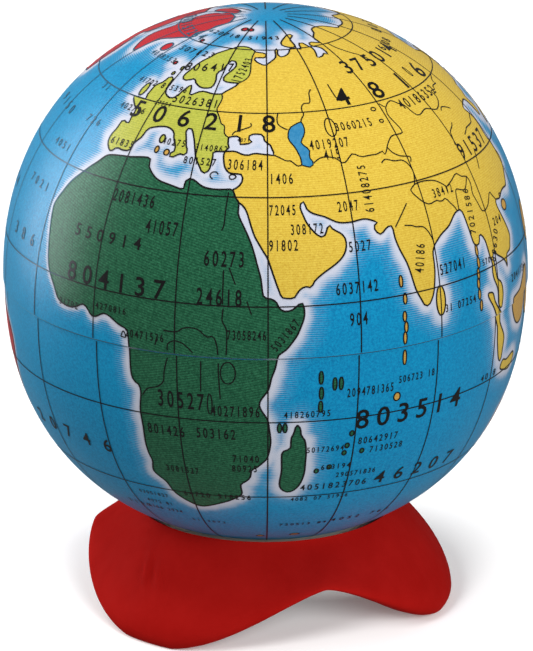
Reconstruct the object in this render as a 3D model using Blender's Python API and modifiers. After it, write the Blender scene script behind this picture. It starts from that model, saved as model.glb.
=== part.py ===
"""Desk globe pencil sharpener: a printed tin globe that spins on a three-footed base.

The globe is two pressed shells. It turns round a moulded ring, and ring and globe lift off the
boss of the sharpener holder, so that the shavings can be tipped out. Metres, +Z up, origin under
the middle of the base on the surface that it stands on. Sizes below are in millimetres.
"""

import math

import bmesh
import bpy
from mathutils import Matrix, Vector

MM = 0.001
GAP = 0.3                      # clearance between neighbouring pieces

# Globe: each half is a superellipse turned about Z, a little fuller than a true sphere.
GLOBE_RADIUS = 30.0
SEAM_HEIGHT = 39.3
UPPER_RISE = 30.7              # seam to north pole
LOWER_DROP = 29.85             # seam to where the south pole would be
UPPER_FULLNESS = 2.14
LOWER_FULLNESS = 2.24
TIN = 0.45                     # sheet thickness
RIM_PROUD = 0.15               # the upper rim stands this far out over the lower shell
NECK_LENGTH = 2.5              # joggled neck of the lower shell, inside the upper one
GLOBE_OPENING = 13.0           # radius of the hole at the bottom of the globe
GLOBE_SEGMENTS = 56

# Base: three feet and three arches, 120 degrees apart.
FEET = 3
FOOT_ANGLE = math.radians(-9.8)
FOOT_SHARPNESS = 0.71          # below 1 the feet are broad and the arches narrow
RIM_RADIUS = 15.0              # where the skirt meets the globe
SKIRT_RADIUS_FOOT = 19.9       # lower edge of the skirt at a foot and at an arch
SKIRT_RADIUS_ARCH = 19.2
ARCH_HEIGHT = 7.9
FOOT_FLAT = 0.3                # the feet are cut flat this far up
TOP_SWELL = 1.9                # how far the skirt's curve leans out below the rim
TOP_DROP = 1.8
BULGE_FOOT = 5.4               # how far it leans out above the lower edge
BULGE_ARCH = 3.7
SKIRT_WALL = 1.7
FLOOR_TOP = 9.6                # floor of the dish
FLOOR_UNDER = 8.3
RECESS_RADIUS = 14.3
HOLDER_HOLE = 11.3             # radius of the hole in the floor
BASE_SEGMENTS = 60
SKIRT_STEPS = 10
LINER_STEPS = 5

# Turn ring: a grommet in the globe's opening.
RING_BORE = 11.0
RING_NECK = 12.6
RING_FLANGE = 13.9
RING_BOTTOM = 9.9
RING_FLANGE_TOP = 10.95
RING_CLIP_BOTTOM = 12.75
RING_TOP = 14.0
RING_CLIP = 13.5

# Sharpener holder: a plug in the floor of the base.
HOLDER_BOTTOM = 5.0
HOLDER_FLANGE_BOTTOM = 6.7
HOLDER_FLANGE_TOP = 8.0
HOLDER_FLANGE = 12.8
HOLDER_FOOT = 9.4
HOLDER_NECK = 11.0
HOLDER_BOSS = 10.7
HOLDER_TOP = 16.0
BOSS_CHAMFER = 0.8
PENCIL_HOLE = 4.3
PENCIL_MOUTH = 5.6

# Sharpener: a wedge standing on its wide end. The blade's underside touches the tapered bore.
WEDGE_LENGTH = 24.5
WEDGE_WIDE = 14.4
WEDGE_NARROW = 11.4
WEDGE_BACK = 5.8               # axis to the back face
BORE_WIDE = 4.0
BORE_NARROW = 0.9
WEDGE_FRONT_WIDE = BORE_WIDE - GAP
WEDGE_FRONT_NARROW = BORE_NARROW - GAP
GRIP_GROOVES = 7
GRIP_PITCH = 1.5
GRIP_RADIUS = 0.5
BLADE_LENGTH = 21.0
BLADE_WIDTH = 7.4
BLADE_THICK = 0.6
BLADE_FROM_END = 2.0           # wide end of the wedge to the end of the blade
BLADE_EDGE_BEVEL = 1.3
SCREW_ALONG = 12.5             # wide end of the wedge to the screw
SCREW_ACROSS = 3.6             # axis to the screw
SCREW_HOLE = 1.4
SCREW_SHANK = 1.05
SCREW_HEAD = 2.3
SCREW_HEAD_HEIGHT = 1.0
SCREW_DEPTH = 2.6
SCREW_SLOT = 0.7


def new_collection(name, scene_root):
    """Make a collection and put it in the scene."""
    collection = bpy.data.collections.new(name)
    scene_root.children.link(collection)
    return collection


def new_material(name, colour, roughness, metallic):
    """A Principled material with one plain colour."""
    material = bpy.data.materials.new(name)
    material.use_nodes = True
    shader = material.node_tree.nodes["Principled BSDF"]
    shader.inputs["Base Color"].default_value = (*colour, 1.0)
    shader.inputs["Roughness"].default_value = roughness
    shader.inputs["Metallic"].default_value = metallic
    return material


def add_object(name, mesh, collection, material=None):
    """Link a mesh as a named object."""
    obj = bpy.data.objects.new(name, mesh)
    collection.objects.link(obj)
    if material is not None:
        mesh.materials.append(material)
    return obj


def mesh_from_bmesh(name, bm):
    """Store a bmesh as mesh data with its faces pointing out."""
    bmesh.ops.recalc_face_normals(bm, faces=bm.faces)
    mesh = bpy.data.meshes.new(name)
    bm.to_mesh(mesh)
    bm.free()
    return mesh


def turned(name, profile, closed, segments, collection, material):
    """Turn a profile of (radius, height) points, running top to bottom on its outer side."""
    bm = bmesh.new()
    verts = [bm.verts.new((r * MM, 0.0, z * MM)) for r, z in profile]
    for start, end in zip(verts, verts[1:]):
        bm.edges.new((start, end))
    if closed:
        bm.edges.new((verts[-1], verts[0]))
    mesh = bpy.data.meshes.new(name)
    bm.to_mesh(mesh)
    bm.free()
    obj = add_object(name, mesh, collection, material)
    screw = obj.modifiers.new("turn", "SCREW")
    screw.axis = "Z"
    screw.steps = segments
    screw.render_steps = segments
    screw.use_merge_vertices = True
    screw.merge_threshold = 0.00001
    screw.use_smooth_shade = True
    return obj


def cut(obj, cutter):
    """Cut one solid with another."""
    modifier = obj.modifiers.new("cut " + cutter.name, "BOOLEAN")
    modifier.operation = "DIFFERENCE"
    modifier.solver = "EXACT"
    modifier.object = cutter


def cutter_from_bmesh(name, bm, collection):
    """A hidden solid that only cuts."""
    obj = add_object(name, mesh_from_bmesh(name, bm), collection)
    obj.hide_render = True
    obj.display_type = "WIRE"
    return obj


def add_box(bm, low, high):
    """Add a box between two corners to a bmesh."""
    size = [(b - a) * MM for a, b in zip(low, high)]
    middle = [(a + b) / 2 * MM for a, b in zip(low, high)]
    matrix = Matrix.Translation(middle) @ Matrix.Diagonal((*size, 1.0))
    return bmesh.ops.create_cube(bm, size=1.0, matrix=matrix)["verts"]


def add_cone(bm, centre, height, radius_low, radius_high, segments):
    """Add an upright cone or cylinder, from its lower centre, to a bmesh."""
    x, y, z = centre
    matrix = Matrix.Translation((x * MM, y * MM, (z + height / 2) * MM))
    bmesh.ops.create_cone(bm, cap_ends=True, segments=segments, radius1=radius_low * MM,
                          radius2=radius_high * MM, depth=height * MM, matrix=matrix)


def shell_curve(radius, reach, fullness, start, steps):
    """Quarter of a superellipse, from the angle start (radians above the seam) to the pole."""
    points = []
    for step in range(steps + 1):
        angle = start + (math.pi / 2 - start) * step / steps
        across = radius * max(math.cos(angle), 0.0) ** (2 / fullness)
        along = reach * math.sin(angle) ** (2 / fullness)
        points.append((across, along))
    return points


def angle_at_radius(radius, share_radius, fullness):
    """The superellipse angle at which the curve has come in to share_radius."""
    return math.acos((share_radius / radius) ** (fullness / 2))


def make_upper_shell(collection, material):
    """Northern half: from the pole down to the rim, and back up inside."""
    outer = shell_curve(GLOBE_RADIUS, UPPER_RISE, UPPER_FULLNESS, 0.0, 11)
    inner = shell_curve(GLOBE_RADIUS - TIN, UPPER_RISE - TIN, UPPER_FULLNESS, 0.0, 9)
    edge = SEAM_HEIGHT + GAP / 2
    profile = [(r, max(SEAM_HEIGHT + z, edge)) for r, z in reversed(outer)]
    profile += [(r, max(SEAM_HEIGHT + z, edge)) for r, z in inner]
    profile[0] = (0.0, profile[0][1])
    profile[-1] = (0.0, profile[-1][1])
    return turned("upper_shell", profile, False, GLOBE_SEGMENTS, collection, material)


def make_lower_shell(collection, material):
    """Southern half: neck, shoulder and bowl down to the opening, and back up inside."""
    radius = GLOBE_RADIUS - RIM_PROUD
    stop = angle_at_radius(radius, GLOBE_OPENING, LOWER_FULLNESS)
    stop_inner = angle_at_radius(radius - TIN, GLOBE_OPENING, LOWER_FULLNESS)

    def bowl(bowl_radius, drop, last, steps):
        points = []
        for step in range(steps + 1):
            angle = last * step / steps
            across = bowl_radius * math.cos(angle) ** (2 / LOWER_FULLNESS)
            along = drop * math.sin(angle) ** (2 / LOWER_FULLNESS)
            points.append((across, SEAM_HEIGHT - GAP / 2 - along))
        return points

    neck_radius = GLOBE_RADIUS - TIN - GAP - 0.05
    neck_top = SEAM_HEIGHT + NECK_LENGTH
    profile = [(neck_radius, neck_top), (neck_radius, SEAM_HEIGHT - GAP / 2)]
    profile += bowl(radius, LOWER_DROP - GAP / 2, stop, 10)
    inner = bowl(radius - TIN, LOWER_DROP - GAP / 2 - TIN, stop_inner, 9)
    inner = [(min(r, neck_radius - TIN), z) for r, z in inner if z < SEAM_HEIGHT - 1.0]
    profile += list(reversed(inner))
    profile += [(neck_radius - TIN, SEAM_HEIGHT - 0.8), (neck_radius - TIN, neck_top)]
    return turned("lower_shell", profile, True, GLOBE_SEGMENTS, collection, material)


def bezier(points, share):
    """Point on a cubic curve."""
    rest = 1.0 - share
    weights = (rest ** 3, 3 * rest * rest * share, 3 * rest * share * share, share ** 3)
    return (sum(w * p[0] for w, p in zip(weights, points)),
            sum(w * p[1] for w, p in zip(weights, points)))


def base_section(angle):
    """Closed (radius, height) outline of the base at one direction, all with the same count."""
    foot = ((1 + math.cos(FEET * (angle - FOOT_ANGLE))) / 2) ** FOOT_SHARPNESS
    edge_radius = SKIRT_RADIUS_ARCH + (SKIRT_RADIUS_FOOT - SKIRT_RADIUS_ARCH) * foot
    edge_height = max(ARCH_HEIGHT * (1 - foot) - FOOT_FLAT, 0.0)
    bulge = BULGE_ARCH + (BULGE_FOOT - BULGE_ARCH) * foot
    rim_angle = angle_at_radius(GLOBE_RADIUS, RIM_RADIUS, LOWER_FULLNESS)
    rim_height = SEAM_HEIGHT - LOWER_DROP * math.sin(rim_angle) ** (2 / LOWER_FULLNESS)
    # The rim keeps clear of the globe, square to its surface.
    rim = (RIM_RADIUS + 0.45 * GAP, rim_height - 1.1 * GAP)
    swell = TOP_SWELL * (0.3 + 0.7 * foot)
    outer = (rim, (rim[0] + swell, rim[1] - TOP_DROP), (edge_radius + bulge, edge_height),
             (edge_radius, edge_height))
    section = [bezier(outer, step / SKIRT_STEPS) for step in range(SKIRT_STEPS + 1)]
    # Lining of the skirt: the same curve, a wall's thickness in, up to the floor's underside.
    lip = edge_radius - SKIRT_WALL
    under = max(FLOOR_UNDER, edge_height + 0.6)
    corner = (RECESS_RADIUS - 0.6, under)
    shoulder = (corner[0] + 2.2 + 1.6 * foot, under - 0.25 * (under - edge_height))
    belly = (lip + bulge * 0.4, edge_height + 0.3 * (under - edge_height))
    inner = ((lip, edge_height), belly, shoulder, corner)
    section += [bezier(inner, step / LINER_STEPS) for step in range(LINER_STEPS + 1)]
    section += [(HOLDER_HOLE, under), (HOLDER_HOLE, FLOOR_TOP), (RECESS_RADIUS, FLOOR_TOP)]
    section += [(RECESS_RADIUS, rim[1] - 0.45)]
    return section


def make_base(collection, material):
    """Loft the section round the axis: the feet and the arches change its shape as it goes."""
    bm = bmesh.new()
    rings = []
    for segment in range(BASE_SEGMENTS):
        angle = 2 * math.pi * segment / BASE_SEGMENTS
        ring = []
        for radius, height in base_section(angle):
            place = (radius * math.cos(angle) * MM, radius * math.sin(angle) * MM, height * MM)
            ring.append(bm.verts.new(place))
        rings.append(ring)
    count = len(rings[0])
    for here, there in zip(rings, rings[1:] + rings[:1]):
        for point in range(count):
            after = (point + 1) % count
            bm.faces.new((here[point], here[after], there[after], there[point]))
    base = add_object("base", mesh_from_bmesh("base", bm), collection, material)
    base.data.shade_smooth()
    base.data.set_sharp_from_angle(angle=math.radians(40))
    return base


def make_turn_ring(collection, material):
    """Grommet: wide flange under the globe, neck through its opening, clip lip inside."""
    profile = [(RING_BORE, RING_TOP), (RING_NECK - 0.4, RING_TOP), (RING_CLIP, RING_CLIP_BOTTOM + 0.4),
               (RING_CLIP, RING_CLIP_BOTTOM), (RING_NECK, RING_CLIP_BOTTOM),
               (RING_NECK, RING_FLANGE_TOP), (RING_FLANGE, RING_FLANGE_TOP),
               (RING_FLANGE, RING_BOTTOM), (RING_BORE, RING_BOTTOM)]
    return turned("turn_ring", profile, True, 44, collection, material)


def make_holder(parts, cutters, material):
    """Plug with a flange under the floor, a boss above it, a pocket and a pencil hole."""
    profile = [(0.0, HOLDER_TOP), (HOLDER_BOSS - BOSS_CHAMFER, HOLDER_TOP),
               (HOLDER_BOSS, HOLDER_TOP - BOSS_CHAMFER), (HOLDER_BOSS, FLOOR_TOP + GAP / 2),
               (HOLDER_NECK, FLOOR_TOP + GAP / 2), (HOLDER_NECK, HOLDER_FLANGE_TOP),
               (HOLDER_FLANGE, HOLDER_FLANGE_TOP), (HOLDER_FLANGE, HOLDER_FLANGE_BOTTOM),
               (HOLDER_FOOT, HOLDER_FLANGE_BOTTOM), (HOLDER_FOOT - 0.6, HOLDER_BOTTOM),
               (0.0, HOLDER_BOTTOM)]
    holder = turned("sharpener_holder", profile, False, 44, parts, material)
    pocket = bmesh.new()
    half = WEDGE_WIDE / 2 + GAP
    front = WEDGE_FRONT_WIDE + 2 * GAP + BLADE_THICK
    add_box(pocket, (-half, -front, HOLDER_FLANGE_TOP), (half, WEDGE_BACK + GAP, HOLDER_TOP + 2))
    cut(holder, cutter_from_bmesh("pocket_cutter", pocket, cutters))
    mouth = bmesh.new()
    add_cone(mouth, (0, 0, HOLDER_BOTTOM - 1.0), 2.3, PENCIL_MOUTH + 0.6, PENCIL_HOLE, 32)
    cut(holder, cutter_from_bmesh("mouth_cutter", mouth, cutters))
    hole = bmesh.new()
    add_cone(hole, (0, 0, HOLDER_BOTTOM - 1.0), 5.0, PENCIL_HOLE, PENCIL_HOLE, 32)
    cut(holder, cutter_from_bmesh("pencil_hole_cutter", hole, cutters))
    return holder


def blade_frame():
    """Matrix of the wedge's sloping face: X across, Y along towards the narrow end, Z out."""
    low = Vector((0.0, -WEDGE_FRONT_WIDE, 0.0))
    high = Vector((0.0, -WEDGE_FRONT_NARROW, WEDGE_LENGTH))
    along = (high - low).normalized()
    across = Vector((1.0, 0.0, 0.0))
    out = across.cross(along)
    frame = Matrix((across, along, out)).transposed().to_4x4()
    frame.translation = (low + Vector((0, 0, HOLDER_FLANGE_TOP + GAP))) * MM
    return frame


def make_sharpener_body(parts, cutters, material):
    """Wedge with grip grooves, a tapered bore, an open side for the shavings and a screw hole."""
    bottom = HOLDER_FLANGE_TOP + GAP
    bm = bmesh.new()
    verts = add_box(bm, (-0.5, -0.5, bottom), (0.5, 0.5, bottom + WEDGE_LENGTH))
    for vert in verts:
        top = vert.co.z > (bottom + WEDGE_LENGTH / 2) * MM
        half = (WEDGE_NARROW if top else WEDGE_WIDE) / 2
        front = WEDGE_FRONT_NARROW if top else WEDGE_FRONT_WIDE
        vert.co.x = math.copysign(half, vert.co.x) * MM
        vert.co.y = (WEDGE_BACK if vert.co.y > 0 else -front) * MM
    body = add_object("sharpener_body", mesh_from_bmesh("sharpener_body", bm), parts, material)
    bevel = body.modifiers.new("edges", "BEVEL")
    bevel.width = 0.5 * MM
    bevel.segments = 2

    bore = bmesh.new()
    slope = (BORE_WIDE - BORE_NARROW) / WEDGE_LENGTH
    add_cone(bore, (0, 0, bottom - 1.0), WEDGE_LENGTH + 2.0, BORE_WIDE + slope, BORE_NARROW - slope, 28)
    cut(body, cutter_from_bmesh("bore_cutter", bore, cutters))

    # Shavings leave through the side of the bore that the blade's edge runs along.
    window = bmesh.new()
    add_box(window, (-9.0, -9.0, bottom + 3.0), (-0.35, -0.9, bottom + WEDGE_LENGTH - 2.5))
    cut(body, cutter_from_bmesh("window_cutter", window, cutters))

    grooves = bmesh.new()
    lean = (WEDGE_WIDE - WEDGE_NARROW) / 2 / WEDGE_LENGTH
    for groove in range(GRIP_GROOVES):
        height = WEDGE_LENGTH * 0.36 + groove * GRIP_PITCH
        for side in (-1, 1):
            x = side * (WEDGE_WIDE / 2 - lean * height + 0.1)
            matrix = (Matrix.Translation((x * MM, 2.6 * MM, (bottom + height) * MM))
                      @ Matrix.Rotation(math.pi / 2, 4, "X"))
            bmesh.ops.create_cone(grooves, cap_ends=True, segments=10, radius1=GRIP_RADIUS * MM,
                                  radius2=GRIP_RADIUS * MM, depth=6.2 * MM, matrix=matrix)
    cut(body, cutter_from_bmesh("grip_cutter", grooves, cutters))

    screw_hole = bmesh.new()
    matrix = blade_frame() @ Matrix.Translation((SCREW_ACROSS * MM, SCREW_ALONG * MM, -SCREW_DEPTH / 2 * MM))
    bmesh.ops.create_cone(screw_hole, cap_ends=True, segments=20, radius1=SCREW_HOLE * MM,
                          radius2=SCREW_HOLE * MM, depth=(SCREW_DEPTH + 1.2) * MM, matrix=matrix)
    cut(body, cutter_from_bmesh("screw_hole_cutter", screw_hole, cutters))
    return body


def make_blade(parts, cutters, material):
    """Steel plate on the sloping face, ground along the edge that lies over the bore."""
    bm = bmesh.new()
    low = (0.1, BLADE_FROM_END, GAP)
    high = (0.1 + BLADE_WIDTH, BLADE_FROM_END + BLADE_LENGTH, GAP + BLADE_THICK)
    verts = add_box(bm, low, high)
    for vert in verts:
        if vert.co.x < (low[0] + 1.0) * MM and vert.co.z > (GAP + BLADE_THICK / 2) * MM:
            vert.co.x += BLADE_EDGE_BEVEL * MM
        # The free side follows the wedge's taper.
        if vert.co.x > (low[0] + 3.0) * MM and vert.co.y > BLADE_LENGTH / 2 * MM:
            vert.co.x -= 1.9 * MM
        elif vert.co.x > (low[0] + 3.0) * MM:
            vert.co.x -= 0.9 * MM
    blade = add_object("blade", mesh_from_bmesh("blade", bm), parts, material)
    blade.matrix_world = blade_frame()
    hole = bmesh.new()
    matrix = blade_frame() @ Matrix.Translation((SCREW_ACROSS * MM, SCREW_ALONG * MM, 0))
    bmesh.ops.create_cone(hole, cap_ends=True, segments=20, radius1=SCREW_HOLE * MM,
                          radius2=SCREW_HOLE * MM, depth=4 * MM, matrix=matrix)
    cut(blade, cutter_from_bmesh("blade_hole_cutter", hole, cutters))
    return blade


def make_screw(parts, cutters, material):
    """Slotted cheese-head screw through the blade into the wedge."""
    seat = 2 * GAP + BLADE_THICK
    profile = [(0.0, seat + SCREW_HEAD_HEIGHT), (SCREW_HEAD - 0.4, seat + SCREW_HEAD_HEIGHT),
               (SCREW_HEAD, seat + SCREW_HEAD_HEIGHT - 0.4), (SCREW_HEAD, seat),
               (SCREW_SHANK, seat), (SCREW_SHANK, GAP - SCREW_DEPTH), (0.0, GAP - SCREW_DEPTH)]
    screw = turned("blade_screw", profile, False, 24, parts, material)
    screw.matrix_world = blade_frame() @ Matrix.Translation((SCREW_ACROSS * MM, SCREW_ALONG * MM, 0))
    slot = bmesh.new()
    add_box(slot, (-3.0, -SCREW_SLOT / 2, seat + 0.45), (3.0, SCREW_SLOT / 2, seat + 3.0))
    cutter = cutter_from_bmesh("slot_cutter", slot, cutters)
    cutter.matrix_world = screw.matrix_world @ Matrix.Rotation(math.radians(35), 4, "Z")
    cut(screw, cutter)
    return screw


def main():
    for obj in list(bpy.data.objects):
        bpy.data.objects.remove(obj, do_unlink=True)
    root = bpy.context.scene.collection
    parts = new_collection("globe_sharpener", root)
    cutters = new_collection("cutters", root)

    printed_tin = new_material("printed_tin", (0.01, 0.2, 0.45), 0.35, 0.0)
    red_plastic = new_material("red_plastic", (0.5, 0.012, 0.018), 0.45, 0.0)
    white_plastic = new_material("white_plastic", (0.75, 0.74, 0.71), 0.45, 0.0)
    black_plastic = new_material("black_plastic", (0.02, 0.02, 0.022), 0.5, 0.0)
    light_alloy = new_material("light_alloy", (0.62, 0.63, 0.64), 0.38, 1.0)
    blade_steel = new_material("blade_steel", (0.55, 0.55, 0.56), 0.22, 1.0)
    screw_steel = new_material("screw_steel", (0.7, 0.7, 0.68), 0.25, 1.0)

    make_upper_shell(parts, printed_tin)
    make_lower_shell(parts, printed_tin)
    make_turn_ring(parts, white_plastic)
    make_base(parts, red_plastic)
    make_holder(parts, cutters, black_plastic)
    make_sharpener_body(parts, cutters, light_alloy)
    make_blade(parts, cutters, blade_steel)
    make_screw(parts, cutters, screw_steel)
    bpy.context.view_layer.update()


main()
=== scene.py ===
"""Looks of the globe pencil sharpener: a printed tin globe in a moulded red base. Metres, +Z up."""
import math

import bmesh
import bpy
import numpy as np
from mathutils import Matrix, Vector, kdtree
from mathutils.geometry import delaunay_2d_cdt


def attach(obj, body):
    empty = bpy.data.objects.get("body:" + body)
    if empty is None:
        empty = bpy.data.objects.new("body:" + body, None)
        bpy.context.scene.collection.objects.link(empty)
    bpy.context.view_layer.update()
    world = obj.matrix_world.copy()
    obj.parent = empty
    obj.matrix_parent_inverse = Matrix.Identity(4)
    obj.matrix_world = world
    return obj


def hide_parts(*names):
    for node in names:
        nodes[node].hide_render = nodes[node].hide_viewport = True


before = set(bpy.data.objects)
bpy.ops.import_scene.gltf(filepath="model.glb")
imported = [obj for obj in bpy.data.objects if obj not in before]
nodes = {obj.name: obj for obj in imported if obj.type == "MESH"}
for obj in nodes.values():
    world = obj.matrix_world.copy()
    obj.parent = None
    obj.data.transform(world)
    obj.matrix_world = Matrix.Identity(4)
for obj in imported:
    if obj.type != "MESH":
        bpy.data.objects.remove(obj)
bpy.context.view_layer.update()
MM = 0.001

# ---- the globe's surface
SEAM = 39.3
UPPER = (30.03, 30.72, 2.14)  # radius at the seam, rise, fullness (mm)
LOWER = (29.88, 29.87, 2.24)
SEAM_RADIUS = 30  # the globe's radius near the seam, mm
SLIT = 0.07  # half the gap between the two prints at the seam
LON_FRONT = 39.45  # this longitude faces -Y
LAT_KNOTS = np.array([-90.0, -50.0, -30.0, -10.0, 0.0, 10.0, 30.0, 50.0, 70.0, 90.0])
CURVE_KNOTS = np.array([-90.0, -65.1, -34.25, -12.45, 0.0, 9.8, 32.45, 52.55, 72.4, 90.0])


def smooth_step_through(x, xs, ys):
    """Monotone cubic through the knots."""
    x = np.asarray(x, float)
    h = np.diff(xs)
    d = np.diff(ys) / h
    m = np.zeros(len(xs))
    m[1:-1] = 2 * d[:-1] * d[1:] / (d[:-1] + d[1:])
    m[0], m[-1] = d[0], d[-1]
    i = np.clip(np.searchsorted(xs, x, side="right") - 1, 0, len(h) - 1)
    t = (x - xs[i]) / h[i]
    return ((1 + 2 * t) * (1 - t) ** 2 * ys[i] + t * (1 - t) ** 2 * h[i] * m[i]
            + t * t * (3 - 2 * t) * ys[i + 1] + t * t * (t - 1) * h[i] * m[i + 1])


def curve_angle(lat):
    return np.radians(smooth_step_through(lat, LAT_KNOTS, CURVE_KNOTS))


def profile(angle, half):
    """(radius, height, normal's radial part, normal's height part) of a half's outline, in mm."""
    radius, reach, full = UPPER if half == "upper" else LOWER
    a = np.clip(np.abs(angle), 1e-5, math.pi / 2 - 1e-6)
    c, s = np.cos(a), np.sin(a)
    r = radius * c ** (2 / full)
    z = reach * s ** (2 / full)
    nr = c ** (2 - 2 / full) / radius
    nz = s ** (2 - 2 / full) / reach
    size = np.hypot(nr, nz)
    nr, nz = nr / size, nz / size
    if half == "upper":
        return r, SEAM + SLIT + z * (1 - SLIT / reach), nr, nz
    return r, SEAM - SLIT - z * (1 - SLIT / reach), nr, -nz


def on_globe(lon, angle, half, lift=0.0):
    """Points (m) and normals at longitudes (degrees) and curve angles (radians)."""
    r, z, nr, nz = profile(angle, half)
    w = np.radians(np.asarray(lon, float) - LON_FRONT)
    e = np.stack([np.sin(w), -np.cos(w)], -1)
    n = np.concatenate([e * nr[..., None], nz[..., None]], -1)
    p = np.concatenate([e * r[..., None], z[..., None]], -1) + n * lift
    return p * MM, n


# ---- outlines on the map (lon,lat)
def pts(text):
    return [tuple(float(v) for v in pair.split(",")) for pair in text.split()]


AFRICA = pts("""
-6.5,34.9 -1.5,35.6 1,35.8 6.8,36.5 7.5,34.8 9.2,33.2 11.5,32 14.8,31.4 17,31 18.7,30.9 18.8,32.5 20,33.2
21.3,32.9 23.5,31.8 26.3,31.4 29.3,31.5 31.3,31.5 32,30 33,28.9 33,26.8 34,25 35.3,23 36.6,20.5 37.5,18
38.5,15 39,12 40.3,11.6 41.7,11 42.4,9.7 43.8,9.1 45.4,9.5 46.7,10.5 47.4,10.5 47.7,9.2 47.6,7.7 46.8,5.6
45.9,3.8 43.9,1.5 42.3,.6 41.8,-.3 41.5,-1.2 40.7,-2.6 40.1,-4.3 38.8,-5.6 38.1,-6.7 38.8,-8 39.9,-9.4
40.3,-11.5 40.6,-14.5 40,-18 39.3,-19.3 37.3,-21.3 36.2,-21.9 36,-23.5 35.2,-25 33.5,-26.3 33.6,-28.3
33.3,-29.5 30.8,-31 27.5,-32.2 22.5,-33.5 19.7,-33 16.8,-31.5 15.3,-29.9 14.3,-27.5 11.7,-25 12.2,-22
11.7,-20 11.4,-17 11.5,-13 11.3,-9.9 11.5,-8 11.8,-6.5 11.5,-5.2 10.5,-4.8 9.7,-3.8 9.5,-2 9.4,0 9.2,1.8
8.8,3 8,3.3 6.5,3.8 4.7,4.8 3,5.3 1.5,4.6 0,4 -1,4.6 -2,5.6 -3.3,6 -4.7,5.2 -6.8,4.6 -8.8,4.7 -11,5.4
-12.5,7.5 -14.6,10 -15.8,12 -17,16 -18.3,20.3 -18.5,22.3 -17,24.8 -15.3,27.3 -12.5,29.8 -11,31.2 -8.8,33""")
EUROPE_COAST = pts("""
28,40 25,39.8 24.9,38.8 24.8,37.3 24.6,35.7 23.7,34.8 22.6,35 21.7,36.2 20.4,37.7 19.6,39.4 18.9,41.1
18,42.9 17,44.4 16.2,45 15.4,44.8 15,44.1 15.8,42.4 16.5,40.6 17.3,39.4 17,38.5 16.1,38.3 15.2,38.5
14.2,37.8 13.2,37.4 12.6,37.6 12.4,38.2 13.3,38.7 13.5,39.4 13.1,40.5 11.9,42.1 11.3,43.4 9.3,44.3 7.3,44.4
5,44 2.8,43.3 2,42.3 1.6,40.8 .4,39.5 -.2,38.3 -.3,37.2 -2.5,36.8 -5,37 -6.4,35.8 -8.6,37.2 -9.3,38.6
-9.2,39.9 -8.7,41 -8.6,42.6 -8.3,43.5 -7,43.4 -5.9,43 -5.6,43.6 -6,45.3 -6,46.7 -7.5,47.6 -10.3,49.2
-10.7,50 -5.3,50 -6,50.9 -6,52.5 -5.8,54.2 -3.6,55.6 -3.3,56.9 -1.8,57.4 -.6,57 -.6,55.8 -.4,55 .3,53.3
1.8,52.3 3.8,51.8 5.2,52.1 6.2,52.9 7.3,54.6 8.2,55.6 8.9,56.4 10,55.1 10.7,53.4 12.3,54.1 14.2,54.9 16,55
18.4,54.7 20,54.6 22.8,54.8""")
EUROPE_BORDER = pts("""
22.8,54.8 23.5,53.9 23.4,52.6 22.8,51 23,50.1 24.2,48.7 25.5,46.8 26.5,46.5 26.8,45.8 26.9,44.7 27.6,43.9
28.5,43.5""")
EUROPE_EAST = pts("28.5,43.5 28.6,42 29,41 28,40")
SCAN_COAST = pts("""
33,69.2 31,70.2 27.5,71 24,71.2 20,70.8 18.5,70.1 15.5,69.4 13,68.4 10,67.2 8.5,65.7 6.2,64.2 4.7,62.5
4,60.8 3,59 3.3,57.8 5,57.3 7,57.7 9,58.3 9.6,57.5 11.3,56.7 13.5,56 15.6,56 17.8,56.4 18.3,57.6 18.2,58.8
17.3,60.3 17.8,61.4 19.2,62.1 20.1,64.3 21,65.2 22.3,65.5 23.8,65 24.8,63.8 24,62.5 22.4,61.2 21.2,60
21.3,59.1 22.3,58.5 25,58.3 28.2,58.3""")
SCAN_BORDER = pts("28.2,58.3 30,59 31.8,60.2 32.4,62.2 32,64.5 31.9,67 32.4,68.4 33,69.2")
ASIA_START = pts("22.8,54.8 24,55.6 25.5,56.4 27.5,57.5 28.2,58.3")
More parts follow.
